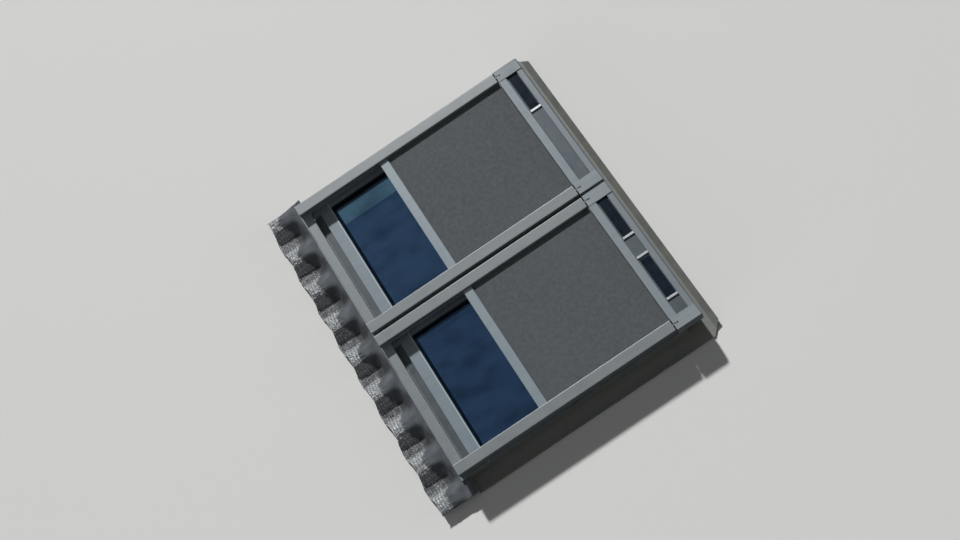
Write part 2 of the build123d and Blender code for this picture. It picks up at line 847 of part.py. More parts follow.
def head_flashing(label):
    """Tray behind the frames, bevelled at its two upper corners."""
    start = frame_head + bracket_thickness + seat
    stop = frame_head + head_reach
    low = side_pan_height
    rise_start = stop - head_slope_length
    half_width = overall_width / 2
    with BuildPart() as flashing:
        with BuildSketch(along(-half_width)):
            outline([
                (start, low),
                (rise_start, low),
                (stop, low + head_slope_rise),
                (stop, low + head_slope_rise + flash_sheet),
                (rise_start, low + flash_sheet),
                (start, low + flash_sheet),
            ])
        extrude(amount=overall_width)
        with BuildSketch(along(-half_width + side_pan_width)):
            block(start, start + flash_sheet, low, frame_depth + head_upstand_rise)
        extrude(amount=overall_width - 2 * side_pan_width)
        with BuildSketch(Plane.XY):
            for end in (-1, 1):
                outline([
                    (end * half_width, stop),
                    (end * (half_width - head_corner_cut), stop),
                    (end * half_width, stop - head_corner_cut),
                ])
        extrude(amount=rail_top, mode=Mode.SUBTRACT)
    finish(flashing.part, label)


def centre_gutter(label):
    """Narrow channel in the gap between the two windows."""
    half = window_gap / 2 - seat
    low = frame_depth - gutter_depth
    with BuildPart() as gutter:
        with BuildSketch(across(frame_head)):
            block(-half, half, low, frame_depth)
            block(-half + flash_sheet, half - flash_sheet, low + flash_sheet, frame_depth,
                  Mode.SUBTRACT)
        extrude(amount=window_length + sill_cover_reach)
    finish(gutter.part, label)


def wave_height(x, base, share):
    """Height of the apron's upper face: a straight edge blended into the tile waves.
    A third harmonic makes the flanks steeper and the crests rounder, as on barrel tiles."""
    middle = (wave_low + wave_high) / 2 + apron_thickness / 2
    swing = (wave_high - wave_low - apron_thickness) / 2
    turn = radians(360 * (x - tile_crest_x) / tile_pitch)
    shape = (cos(turn) - wave_steepness * cos(3 * turn)) / (1 - wave_steepness)
    return base + share * (middle + swing * shape - base)


def wave_section(y, base, share):
    """Closed section of the apron across the slope at y."""
    half_width = overall_width / 2
    step = tile_pitch / 6
    first = -int((half_width + tile_crest_x) // step)
    last = int((half_width - tile_crest_x) // step)
    places = [-half_width]
    for index in range(first, last + 1):
        place = tile_crest_x + index * step
        on_flank = index % 3 != 0
        if on_flank and half_width - abs(place) > wave_edge_gap:
            places.append(place)
    places.append(half_width)
    with BuildSketch(across(y)) as section:
        with BuildLine():
            upper = [(x, wave_height(x, base, share)) for x in places]
            lower = [(x, z - apron_thickness) for x, z in upper]
            Spline(*upper)
            Spline(*lower)
            Line(upper[0], lower[0])
            Line(upper[-1], lower[-1])
        make_face()
    return section.sketch.face()


def apron(label):
    """Soft sheet under the sill covers, dressed down over the crests and valleys of the tiles."""
    flat_end = frame_eave - apron_flat
    wave_length = apron_reach - apron_flat
    under_cover = sill_depth - seat
    under_lip = sill_depth - sill_cover_drop - seat
    lip_back = frame_eave - sill_cover_reach + cover_wall + sheet
    half_width = overall_width / 2
    with BuildPart() as flashing:
        with BuildSketch(along(-half_width)):
            outline([
                (frame_eave - bracket_thickness - seat, under_cover),
                (frame_eave - bracket_thickness - seat, under_cover - apron_thickness),
                (lip_back, under_lip - apron_thickness),
                (flat_end, under_lip - apron_thickness),
                (flat_end, under_lip),
                (lip_back, under_lip),
            ])
        extrude(amount=overall_width)
        loft(
            [
                wave_section(flat_end - place * wave_length, under_lip, share)
                for place, share in zip(apron_wave_place, apron_wave_share)
            ],
            ruled=True,
        )
    finish(flashing.part, label)


def mounting_brackets(label):
    """Angle brackets at the head and foot of each frame, screwed down to the battens."""
    with BuildPart() as brackets:
        for centre in (-window_centre, window_centre):
            for way, face in ((1, frame_head), (-1, frame_eave)):
                for side in (-1, 1):
                    middle = centre + side * bracket_offset
                    with BuildSketch(along(middle)):
                        block(face, face + way * bracket_thickness, 0, bracket_height)
                        block(face, face + way * bracket_leg, 0, bracket_thickness)
                    extrude(amount=bracket_width / 2, both=True)
                    with BuildSketch(Plane.XY.offset(bracket_thickness)):
                        with Locations((middle, face + way * bracket_hole_reach)):
                            with GridLocations(bracket_hole_spacing, 0, 2, 1):
                                Circle(bracket_hole_radius)
                    extrude(amount=-bracket_thickness, mode=Mode.SUBTRACT)
    finish(brackets.part, label)


for name, centre, outward in windows:
    frame_jamb(centre, outward, f"{name}_frame_jamb_outer")
    frame_jamb(centre, -outward, f"{name}_frame_jamb_inner")
    frame_head_rail(centre, f"{name}_frame_head")
    frame_sill(centre, f"{name}_frame_sill")
    sill_cover(centre, f"{name}_sill_cover")
    jamb_covers(centre, f"{name}_jamb_covers")
    sash_stile(centre, outward, f"{name}_sash_stile_outer")
    sash_stile(centre, -outward, f"{name}_sash_stile_inner")
    sash_bottom_rail(centre, f"{name}_sash_bottom_rail")
    sash_top_rail(centre, f"{name}_sash_top_rail")
    glass_panes(centre, f"{name}_glass_panes")
    glass_spacer(centre, f"{name}_glass_spacer")
    sash_bottom_cover(centre, f"{name}_sash_bottom_cover")
    sash_side_covers(centre, f"{name}_sash_side_covers")
    sash_top_cover(centre, f"{name}_sash_top_cover")
    pivot_pins(centre, f"{name}_pivot_pins")
    slide_shoes(centre, f"{name}_slide_shoes")
    guide_rail(centre, outward, f"{name}_guide_rail_outer")
    guide_rail(centre, -outward, f"{name}_guide_rail_inner")
    cross_bar(centre, f"{name}_guide_cross_bar")
    screen_bar(centre, f"{name}_screen_bar")
    screen_fabric(centre, f"{name}_screen_fabric")
    roller_tube(centre, f"{name}_roller_tube")
    cassette_ends(centre, f"{name}_cassette_ends")
    cassette_housing(centre, rib_places[name], f"{name}_cassette_housing")
    control_bar(centre, f"{name}_control_bar")

solar_cells("solar_cells")
pivot_plates("pivot_plates")
apron("apron")
side_flashing(-1, "side_flashing_left")
side_flashing(1, "side_flashing_right")
head_flashing("head_flashing")
centre_gutter("centre_gutter")
mounting_brackets("mounting_brackets")

os.makedirs("parts", exist_ok=True)
for part in parts:
    export_step(part, f"parts/{part.label}.step")
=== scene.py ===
import json
from math import cos, pi, sin

import bmesh
import bpy
from mathutils import Matrix, Vector, noise


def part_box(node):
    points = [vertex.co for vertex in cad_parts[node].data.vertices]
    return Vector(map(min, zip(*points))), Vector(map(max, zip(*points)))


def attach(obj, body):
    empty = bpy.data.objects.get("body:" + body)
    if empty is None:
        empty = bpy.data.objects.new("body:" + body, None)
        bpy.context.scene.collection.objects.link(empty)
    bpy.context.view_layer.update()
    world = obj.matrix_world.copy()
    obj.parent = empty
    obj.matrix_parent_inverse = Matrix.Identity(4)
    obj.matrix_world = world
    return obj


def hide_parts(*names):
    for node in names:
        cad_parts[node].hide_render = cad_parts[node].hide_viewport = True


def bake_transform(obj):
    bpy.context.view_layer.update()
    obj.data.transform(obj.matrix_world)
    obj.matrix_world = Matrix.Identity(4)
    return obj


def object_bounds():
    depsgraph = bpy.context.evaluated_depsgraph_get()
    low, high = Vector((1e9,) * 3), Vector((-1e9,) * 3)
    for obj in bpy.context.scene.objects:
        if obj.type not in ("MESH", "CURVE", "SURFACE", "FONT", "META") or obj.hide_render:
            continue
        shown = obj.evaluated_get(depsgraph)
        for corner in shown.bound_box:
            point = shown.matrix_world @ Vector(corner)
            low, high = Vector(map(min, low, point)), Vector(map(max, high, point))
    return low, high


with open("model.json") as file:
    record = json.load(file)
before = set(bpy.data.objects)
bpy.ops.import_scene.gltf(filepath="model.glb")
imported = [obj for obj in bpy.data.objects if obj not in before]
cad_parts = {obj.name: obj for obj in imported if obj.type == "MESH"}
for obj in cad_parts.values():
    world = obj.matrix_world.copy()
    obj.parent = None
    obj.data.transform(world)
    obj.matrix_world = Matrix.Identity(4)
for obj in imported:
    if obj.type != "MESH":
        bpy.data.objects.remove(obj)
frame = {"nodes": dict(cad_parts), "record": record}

# A coupled pair of centre-pivot roof windows with outside screens, in metres.
# X runs along the eaves, Y up the slope and Z out of the roof, as in the CAD.

cad_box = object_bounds()
nodes = frame["nodes"]
windows = ("left", "right")


# Colours, as they look on the screen

def tone(code, factor=1.0):
    """A colour written as six hex digits, as the linear values that the shader takes, made
    darker or lighter by the factor."""
    parts = [int(code[place:place + 2], 16) / 255 for place in (0, 2, 4)]
    linear = [p / 12.92 if p <= 0.04045 else ((p + 0.055) / 1.055) ** 2.4 for p in parts]
    return (*(value * factor for value in linear), 1.0)


RAIL_GREY = "6c7377"
CASSETTE_GREY = "7a858c"
SHELF_GREY = "33414b"
BACK_LIP_GREY = "707a81"
COVER_GREY = "75828b"
# painted shade in the groove of the lower sash cover's lip
GROOVE_PAINTED_SHADE = "303c42"
CASTING_GREY = "808a8f"
PULL_BAR_GREY = "74838b"
# painted highlight on the lower cover's edge next to the glass
COVER_HIGHLIGHT = "a3b1b7"
FLASHING_GREY = "6c706e"
ZINC = "9fa3a3"
LEAD_DARK = "4b4f54"
# silver of the crimped lead, with painted glints
LEAD_SILVER_AND_GLINTS = "c0c4c7"
# dirt and painted shade for the valleys of the apron
LEAD_GRIME_AND_SHADE = "2a2b2b"
SCREEN_DARK = "43484b"
SCREEN_LIGHT = "52575a"
ROLLER_DARK = "474745"
CELL_NAVY = "08141f"
CELL_LINE = "22303c"
CELL_HAZE = "7d8790"
PINE_LIGHT = "d9b27c"
PINE_DARK = "b98850"
RUBBER_BLACK = "1c1d1e"
NYLON_BLACK = "242526"
BAR_SILVER = "b4b6b6"
CLIP_BRIGHT = "c9cdd0"
DUST = "8b8678"
GLASS_TINT = "97b2cf"
GLASS_COAT = "5f92c4"
FLOOR_PALE = "dadad8"
FLOOR_BOUNCE = "50504e"
WELL_DARK = "090b0e"
WHITE_LIGHT = "ffffff"
LINING_LIGHT = "faffdf"


# Sizes that the materials follow, in part together with the pieces

THREAD_PITCH = 0.0012     # of the screen cloth
CELL_WIDTH = 0.027        # of one solar cell strip, along X
CELL_LENGTH = 0.025
CONTACT_WIDTH = 0.0004
SHELF_HEIGHT = 0.160      # heights of faces on the cassette and on the lower sash cover
RIB_HEIGHT = 0.167
LIP_HEIGHT = 0.072
LEVEL_REACH = 0.0002      # how far a vertex may lie from such a height
LEVEL_MARGIN = 0.0004
HIGHLIGHT_WIDTH = 0.006         # painted highlight along the edge of the lower cover, next to the glass
WAVE_PITCH = 0.206        # crests of the apron
WAVE_CREST_X = 0.004
PLEAT_PITCH = 0.017       # crimps of the apron, along X and Y
CREASE_PITCH = 0.015
SQUARE_WOBBLE = 2.5       # in radians of these pitches
CREASE_SHADE_HEIGHTS = (-0.85, -0.25)     # over which the painted shade in the creases between the crimps fades out
APRON_SMOOTH = 0.092      # width of the smooth strip next to the sill covers, on the crests
SMOOTH_WANDER = 0.024     # how unevenly it ends
SMOOTH_ON_CRESTS = 0.016  # how much longer it looks on a crest, and shorter in a valley
CRIMPS_BEGIN = 0.020      # where its end turns into crimps, in Y from that end
CRIMPS_FULL = 0.004
VALLEY_HEIGHTS = (-0.2, -1.0)       # where the dirt and painted shade in the valleys begin and where they are full


# Building blocks of the materials; a noise scale is in cells per metre

MIX_SHARE, MIX_FIRST, MIX_SECOND, MIX_RESULT = 0, 6, 7, 2    # colour sockets of the Mix node
WAVE_RADIANS = 20         # what a Wave texture of scale 1 runs through in a metre


def feed(tree, socket, value):
    """Link an output to the socket, or set the socket to a constant."""
    if isinstance(value, bpy.types.NodeSocket):
        tree.links.new(value, socket)
    else:
        socket.default_value = value


def add(tree, kind, inputs=None, **settings):
    """One node with its settings; inputs are constants or outputs of other nodes."""
    node = tree.nodes.new(kind)
    for key, value in settings.items():
        setattr(node, key, value)
    for key, value in (inputs or {}).items():
        feed(tree, node.inputs[key], value)
    return node


def start_material(name, roughness=0.5, metallic=0.0, **constants):
    """A bare surface: the material, its tree, its shader and the object coordinates."""
    material = bpy.data.materials.new(name)
    material.use_nodes = True
    tree = material.node_tree
    shader = tree.nodes["Principled BSDF"]
    shader.inputs["Roughness"].default_value = roughness
    shader.inputs["Metallic"].default_value = metallic
    for key, value in constants.items():
        shader.inputs[key.replace("_", " ")].default_value = value
    place = add(tree, "ShaderNodeTexCoord").outputs["Object"]
    return material, tree, shader, place


def calc(tree, operation, a, b=0.0):
    node = add(tree, "ShaderNodeMath", operation=operation)
    feed(tree, node.inputs[0], a)
    feed(tree, node.inputs[1], b)
    return node.outputs["Value"]


def times(tree, a, b):
    return calc(tree, "MULTIPLY", a, b)


def plus(tree, a, b):
    return calc(tree, "ADD", a, b)


def spread(tree, value, from_min=0.0, from_max=1.0, to_min=0.0, to_max=1.0, smooth=False):
    """The value carried from one range over to another and held inside it."""
    return add(tree, "ShaderNodeMapRange", {
        "Value": value, "From Min": from_min, "From Max": from_max,
        "To Min": to_min, "To Max": to_max},
        interpolation_type="SMOOTHSTEP" if smooth else "LINEAR").outputs["Result"]


def stretched(tree, place, scale):
    return add(tree, "ShaderNodeMapping", {"Vector": place, "Scale": scale}).outputs["Vector"]


def split(tree, place):
    return add(tree, "ShaderNodeSeparateXYZ", {"Vector": place}).outputs


def clouds(tree, place, scale=1.0, detail=3.0, low=0.3, high=0.7):
    """Noise whose values from low to high are spread over the full 0 to 1."""
    value = add(tree, "ShaderNodeTexNoise", {"Vector": place, "Scale": scale, "Detail": detail})
    return spread(tree, value.outputs["Fac"], low, high)


def blend_colour(tree, share, first, second):
    node = add(tree, "ShaderNodeMix", data_type="RGBA")
    feed(tree, node.inputs[MIX_SHARE], share)
    feed(tree, node.inputs[MIX_FIRST], first)
    feed(tree, node.inputs[MIX_SECOND], second)
    return node.outputs[MIX_RESULT]


def shades(tree, share, code, first, second):
    """One colour between two factors of its brightness."""
    return blend_colour(tree, share, tone(code, first), tone(code, second))


def lay_over(tree, base, colour, share, amount):
    """The base with a colour over it, at most by the amount."""
    return blend_colour(tree, times(tree, share, amount), base, colour)


def paint(tree, shader, colour):
    tree.links.new(colour, shader.inputs["Base Color"])


def vary_roughness(tree, shader, share, low, high):
    tree.links.new(spread(tree, share, to_min=low, to_max=high), shader.inputs["Roughness"])


def raise_bump(tree, shader, height, distance, strength):
    bump = add(tree, "ShaderNodeBump", {
        "Height": height, "Distance": distance, "Strength": strength})
    tree.links.new(bump.outputs["Normal"], shader.inputs["Normal"])


def within(tree, value, low, high, edge=0.0004):
    """1 where the value lies between low and high, with a soft edge outside them."""
    rise = spread(tree, value, low - edge, low)
    fall = spread(tree, value, high + edge, high)
    return times(tree, rise, fall)


# Materials of the pieces

EDGE_GLINT = {"Coat_Weight": 0.8, "Coat_Roughness": 0.36}    # catches the sun on round edges


def coated_metal(name, code, roughness=(0.38, 0.56), dust=0.12, recess=None, rim=None,
                 **constants):
    """Powder-coated aluminium that has stood outside: faint runs down the slope and some dust.
    A recess is (colour, lowest Y, highest Y, height below which it lies), and a rim is
    (colour, lowest Y, highest Y)."""
    material, tree, shader, place = start_material(name, metallic=0.08, **constants)
    runs = clouds(tree, stretched(tree, place, (45.0, 1.6, 45.0)), detail=2.0)
    patches = clouds(tree, place, scale=16.0, detail=6.0)
    specks = clouds(tree, place, scale=420.0, detail=1.0, low=0.35, high=0.65)
    axes = split(tree, place)
    base = shades(tree, runs, code, 0.95, 1.05)
    if recess:
        recess_code, low_y, high_y, height = recess
        inside = times(tree, within(tree, axes["Y"], low_y, high_y),
                       calc(tree, "LESS_THAN", axes["Z"], height))
        base = blend_colour(tree, inside, base, tone(recess_code))
    if rim:
        rim_code, low_y, high_y = rim
        base = blend_colour(tree, within(tree, axes["Y"], low_y, high_y), base, tone(rim_code))
    weathered = lay_over(tree, base, tone(DUST), patches, dust)
    paint(tree, shader, lay_over(tree, weathered, tone(code, 0.62), specks, amount=0.15))
    vary_roughness(tree, shader, patches, *roughness)
    raise_bump(tree, shader, clouds(tree, place, scale=650.0, detail=2.0),
               distance=0.0002, strength=0.5)
    return material


def pine(name, along):
    """Clear-lacquered pine with its grain along X or Y."""
    material, tree, shader, place = start_material(
        name, roughness=0.42, Coat_Weight=0.3, Coat_Roughness=0.25)

    def grain(lengthwise, crosswise, **settings):
        scale = [crosswise] * 3
        scale["xy".index(along)] = lengthwise
        return clouds(tree, stretched(tree, place, scale), **settings)

    rings = grain(3.0, 60.0, detail=4.0, low=0.35, high=0.65)
    fibres = grain(20.0, 900.0, detail=2.0)
    base = blend_colour(tree, rings, tone(PINE_LIGHT), tone(PINE_DARK))
    paint(tree, shader, lay_over(tree, base, tone(PINE_DARK, 0.7), fibres, amount=0.25))
    raise_bump(tree, shader, fibres, distance=0.0001, strength=0.4)
    return material


def zinc(name):
    """Galvanised steel with its spangles."""
    material, tree, shader, place = start_material(name, metallic=0.85)
    spangles = add(tree, "ShaderNodeTexVoronoi", {"Vector": place, "Scale": 130.0})
    shade = spread(tree, spangles.outputs["Color"])
    paint(tree, shader, shades(tree, shade, ZINC, 0.75, 1.1))
    vary_roughness(tree, shader, shade, 0.3, 0.5)
    return material


def plastic(name, code):
    """Moulded nylon or rubber with a fine grain."""
    material, tree, shader, place = start_material(name)
    patches = clouds(tree, place, scale=25.0)
    paint(tree, shader, shades(tree, patches, code, 1.0, 1.5))
    vary_roughness(tree, shader, patches, 0.45, 0.65)
    raise_bump(tree, shader, clouds(tree, place, scale=900.0, detail=1.0),
               distance=0.0001, strength=0.5)
    return material


def insulating_glass(name):
    """Coated panes, see-through, with the deep blue mirror of solar glass and a little dust."""
    material, tree, shader, place = start_material(
        name, roughness=0.0, Transmission_Weight=1.0, IOR=1.5,
        Specular_Tint=tone(GLASS_COAT))
    dust = clouds(tree, stretched(tree, place, (14.0, 6.0, 14.0)), detail=6.0,
                  low=0.45, high=0.85)
    paint(tree, shader, shades(tree, dust, GLASS_TINT, 1.0, 0.6))
    return material


def weave(tree, place, pitch):
    """Height of a plain weave with the given thread pitch, from two crossed waves."""
    warp, weft = [
        add(tree, "ShaderNodeTexWave", {"Vector": place, "Scale": 2 * pi / (WAVE_RADIANS * pitch)},
            bands_direction=axis).outputs["Fac"] for axis in ("X", "Y")]
    return times(tree, warp, weft)


def cloth(name, dark, light):
    """Coated glass-fibre mesh, dark, with threads that show from near by and soft mottling."""
    material, tree, shader, place = start_material(
        name, roughness=0.8, Sheen_Weight=0.15, Sheen_Roughness=0.5)
    threads = weave(tree, place, THREAD_PITCH)
    mottle = clouds(tree, place, scale=55.0, detail=6.0)
    broad = clouds(tree, place, scale=3.0, detail=2.0)
    base = blend_colour(tree, mottle, tone(dark), tone(light))
    shaded = lay_over(tree, base, tone(light), broad, amount=0.3)
    paint(tree, shader, lay_over(tree, shaded, tone(dark, 0.45), threads, amount=0.35))
    height = plus(tree, threads, times(tree, mottle, 0.8))
    raise_bump(tree, shader, height, distance=0.0004, strength=0.6)
    return material


def photovoltaic(name):
    """Dark cell strips under glass, with thin contact lines."""
    material, tree, shader, place = start_material(
        name, roughness=0.35, Specular_IOR_Level=0.06)
    strips = add(tree, "ShaderNodeTexBrick", {
        "Vector": place, "Color1": tone(CELL_NAVY), "Color2": tone(CELL_NAVY, 1.3),
        "Mortar": tone(CELL_LINE), "Scale": 1.0, "Mortar Size": CONTACT_WIDTH,
        "Mortar Smooth": 0.2, "Brick Width": CELL_WIDTH, "Row Height": CELL_LENGTH},
        offset=0.0)
    haze = clouds(tree, place, scale=20.0, detail=4.0)
    paint(tree, shader, lay_over(tree, strips.outputs["Color"], tone(CELL_HAZE), haze,
                                 amount=0.04))
    return material


def dressed_lead(name, smooth_end):
    """Soft lead sheet: dark and smooth on the crests by the frame, bright and crimped further
    down, with painted glints on the crimps and painted shade in the creases between them,
    and with dirt and painted shade in the valleys. The smooth strip ends at Y smooth_end."""
    material, tree, shader, place = start_material(name, metallic=0.06)
    axes = split(tree, place)
    turn = times(tree, calc(tree, "SUBTRACT", axes["X"], WAVE_CREST_X), 2 * pi / WAVE_PITCH)
    height = calc(tree, "COSINE", turn)
    wander = times(tree, clouds(tree, place, scale=26.0), SMOOTH_WANDER)
    edge = plus(tree, plus(tree, axes["Y"], wander), times(tree, height, SMOOTH_ON_CRESTS))
    crimped = spread(tree, edge, smooth_end + CRIMPS_BEGIN, smooth_end + CRIMPS_FULL, smooth=True)
    valley = spread(tree, height, *VALLEY_HEIGHTS, smooth=True)

    # The crimps are small squares between ridges along X and Y; the dark lines between them are
    # painted shade in the creases, and the bright flecks on them painted glints
    grain = clouds(tree, stretched(tree, place, (190.0, 90.0, 140.0)), detail=4.0,
                   low=0.33, high=0.56)
    wobble = times(tree, clouds(tree, place, scale=35.0, detail=2.0), SQUARE_WOBBLE)
    ridges = [calc(tree, "SINE", plus(tree, times(tree, axes[axis], 2 * pi / pitch), wobble))
              for axis, pitch in (("X", PLEAT_PITCH), ("Y", CREASE_PITCH))]
    squares = spread(tree, calc(tree, "MINIMUM", *ridges), *CREASE_SHADE_HEIGHTS, to_min=0.12)
    flecks = times(tree, grain, squares)
    # bright flecks on the crimps are painted glints; the dark lines between them painted shade
    bright = shades(tree, flecks, LEAD_SILVER_AND_GLINTS, 0.3, 1.0)

    stain = shades(tree, clouds(tree, place, scale=18.0, detail=5.0), LEAD_DARK, 0.75, 1.3)
    sheet_colour = blend_colour(tree, crimped, stain, bright)
    # dirt and painted shade in the valleys, where the crests' shadows fall
    valley_dirt_and_shade = times(tree, valley, clouds(tree, place, scale=40.0, detail=5.0, low=0.2, high=0.6))
    paint(tree, shader, lay_over(tree, sheet_colour, tone(LEAD_GRIME_AND_SHADE), valley_dirt_and_shade, amount=0.8))
    satin = times(tree, crimped, calc(tree, "SUBTRACT", 0.45, times(tree, flecks, 0.2)))
    tree.links.new(calc(tree, "SUBTRACT", 0.75, satin), shader.inputs["Roughness"])
    relief = times(tree, flecks, plus(tree, crimped, 0.1))
    raise_bump(tree, shader, relief, distance=0.003, strength=0.9)
    return material


def brushed(name, code):
    """Satin anodised aluminium or bright steel, brushed along X."""
    material, tree, shader, place = start_material(name, metallic=0.9)
    hairs = clouds(tree, stretched(tree, place, (8.0, 900.0, 900.0)), detail=2.0)
    paint(tree, shader, shades(tree, hairs, code, 0.85, 1.0))
    vary_roughness(tree, shader, hairs, 0.25, 0.42)
    return material


# The finish of each slot

def levels(name, height):
    """The node's vertices that lie at one height."""
    return [v.co for v in nodes[name].data.vertices if abs(v.co.z - height) < LEVEL_REACH]


def span_y(points):
    return min(point.y for point in points), max(point.y for point in points)


apron_low, apron_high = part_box("apron")
sill_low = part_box("left_sill_cover")[0]
cover_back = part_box("left_sash_bottom_cover")[1].y
cassette_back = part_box("left_cassette_housing")[1].y
shelf_y = span_y(levels("left_cassette_housing", SHELF_HEIGHT))
lip_y = span_y(levels("left_sash_bottom_cover", LIP_HEIGHT))

finishes = {
    "glass": insulating_glass("insulating_glass"),
    "spacer_black": plastic("edge_seal", RUBBER_BLACK),
    "rail_aluminium": coated_metal("rail_coating", RAIL_GREY, **EDGE_GLINT),
    "end_casting": coated_metal("casting_coating", CASTING_GREY, roughness=(0.5, 0.65)),
    "cassette_aluminium": coated_metal(
        "cassette_coating", CASSETTE_GREY,
        recess=(SHELF_GREY, *shelf_y, RIB_HEIGHT - LEVEL_MARGIN),
        rim=(BACK_LIP_GREY, shelf_y[1] + LEVEL_MARGIN, cassette_back)),
    "cover_aluminium": coated_metal(
        "cover_coating", COVER_GREY,
        # the recess colour here is painted shade in the groove of the lip
        recess=(GROOVE_PAINTED_SHADE, *lip_y, LIP_HEIGHT + LEVEL_MARGIN),
        # the rim colour here is a painted highlight along the cover's edge next to the glass
        rim=(COVER_HIGHLIGHT, cover_back - HIGHLIGHT_WIDTH, cover_back)),
    "zinc_steel": zinc("zinc_plating"),
    "shoe_nylon": plastic("shoe_nylon_black", NYLON_BLACK),
    "roller_cloth": cloth("rolled_screen_cloth", ROLLER_DARK, SCREEN_DARK),
    "control_bar_aluminium": brushed("satin_anodised", BAR_SILVER),
    "solar_cell": photovoltaic("cell_glass"),
    "flashing_grey": coated_metal("flashing_coating", FLASHING_GREY, roughness=(0.45, 0.7),
                                  dust=0.4),
    "bright_clip": brushed("bright_clip_steel", CLIP_BRIGHT),
    "glazing_rubber": plastic("glazing_rubber", RUBBER_BLACK),
    "screen_cloth": cloth("screen_mesh", SCREEN_DARK, SCREEN_LIGHT),
    "apron_lead_grey": dressed_lead("dressed_lead", sill_low.y - APRON_SMOOTH),
}
pine_along_x = pine("pine_along_x", "x")
pine_along_y = pine("pine_along_y", "y")
pull_bar_coating = coated_metal("pull_bar_coating", PULL_BAR_GREY, **EDGE_GLINT)


def cover_with(obj, material):
    obj.data.materials.clear()
    obj.data.materials.append(material)


for row in frame["record"]["subparts"]:
    name, slot = row["node"], row["material_slot"]
    if slot == "pine_timber":
        low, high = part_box(name)
        lies_along_x = high.x - low.x > high.y - low.y
        cover_with(nodes[name], pine_along_x if lies_along_x else pine_along_y)
    else:
        cover_with(nodes[name], finishes[slot])
for window in windows:
    cover_with(nodes[f"{window}_screen_bar"], pull_bar_coating)


# Pieces made here

SEAT = 0.0003             # clearance of a piece under or between covers
TOUCH_GAP = 0.00005       # clearance of a piece on the face that carries it


def put_in_scene(name, data):
    obj = bpy.data.objects.new(name, data)
    bpy.context.scene.collection.objects.link(obj)
    return obj


def mesh_object(name, verts, faces):
    mesh = bpy.data.meshes.new(name)
    mesh.from_pydata(verts, [], faces)
    mesh.update()
    return put_in_scene(name, mesh)


def face_outwards(mesh):
    shell = bmesh.new()
    shell.from_mesh(mesh)
    bmesh.ops.recalc_face_normals(shell, faces=shell.faces)
    shell.to_mesh(mesh)
    shell.free()


def mesh_piece(name, verts, faces, slot, body=None, smooth=False, look=None):
    """A piece with the finish of one of the record's slots; look is its finish where the slot has
    another.
    """
    obj = mesh_object(name, verts, faces)
    face_outwards(obj.data)
    cover_with(obj, finishes[look or slot])
    for face in obj.data.polygons:
        face.use_smooth = smooth
    if body:
        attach(obj, body)
    return obj


def grid(across_count, along_count, point):
    """Vertices and faces of a sheet, from point(u, v) with u and v from 0 to 1."""
    verts = [point(i / across_count, j / along_count)
             for j in range(along_count + 1) for i in range(across_count + 1)]
    row = across_count + 1
    faces = [(j * row + i, j * row + i + 1, (j + 1) * row + i + 1, (j + 1) * row + i)
             for j in range(along_count) for i in range(across_count)]
    return verts, faces


def bands(ring_pairs, sides):
    """Faces between pairs of rings, each ring with the same number of vertices."""
    return [(a * sides + i, a * sides + (i + 1) % sides,
             b * sides + (i + 1) % sides, b * sides + i)
            for a, b in ring_pairs for i in range(sides)]


def rough(x, y, seed):
    return noise.noise(Vector((x, y, seed)))


# Screen cloth: from the guides' hinge into the hollow pull bar, and its lead, which stays on the
# roll while the guides tilt

CLOTH_IN_BAR = 0.012      # how far the cloth reaches into the bar
CLOTH_PAST_HINGE = 0.0015
CLOTH_SLACK = 0.0004
LEAD_FROM_HINGE = 0.0105  # behind the hinge, clear of the cloth's end when all is open
LEAD_CLEARANCE = 0.00015  # over the roll
CLOTH_ACROSS = 40         # faces across and along the cloth, and along its lead
CLOTH_ALONG = 60
LEAD_ALONG = 6

joints = {joint["name"]: joint for joint in frame["record"]["behaviour"]["joints"]}


def screen(window):
    """The cloth from the hinge to the bar and the lead behind the hinge."""
    cad_low, cad_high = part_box(f"{window}_screen_fabric")
    cloth_width = cad_high.x - cad_low.x
    hinge_y = joints[f"{window}_guide_hinge"]["pos_m"][1]
    bar_low, bar_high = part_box(f"{window}_screen_bar")
    height = (bar_low.z + bar_high.z) / 2
    eave_end = bar_high.y - CLOTH_IN_BAR
    head_end = hinge_y + CLOTH_PAST_HINGE
    length = head_end - eave_end

    def cloth_point(u, v):
        x = cad_low.x + u * cloth_width
        y = eave_end + v * length
        slack = rough(x * 3.0, y * 2.0, 0.0) * CLOTH_SLACK
        return (x, y, height + slack * sin(pi * u) * sin(pi * v))

    sheet = mesh_piece(f"{window}_screen_cloth", *grid(CLOTH_ACROSS, CLOTH_ALONG, cloth_point),
                       "screen_cloth", smooth=True)
    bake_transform(sheet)
    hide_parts(f"{window}_screen_fabric")

    lead_end = hinge_y + LEAD_FROM_HINGE
    lead_length = cad_high.y - lead_end
    lead_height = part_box(f"{window}_roller_tube")[1].z + LEAD_CLEARANCE

    def lead_point(u, v):
        return (cad_low.x + u * cloth_width, lead_end + v * lead_length, lead_height)

    lead = mesh_piece(f"{window}_screen_cloth_lead", *grid(CLOTH_ACROSS, LEAD_ALONG, lead_point),
                      "screen_cloth", body="frame", smooth=True)


for window in windows:
    screen(window)


# Apron: soft lead, flat under the sill covers and dressed down into crests and valleys

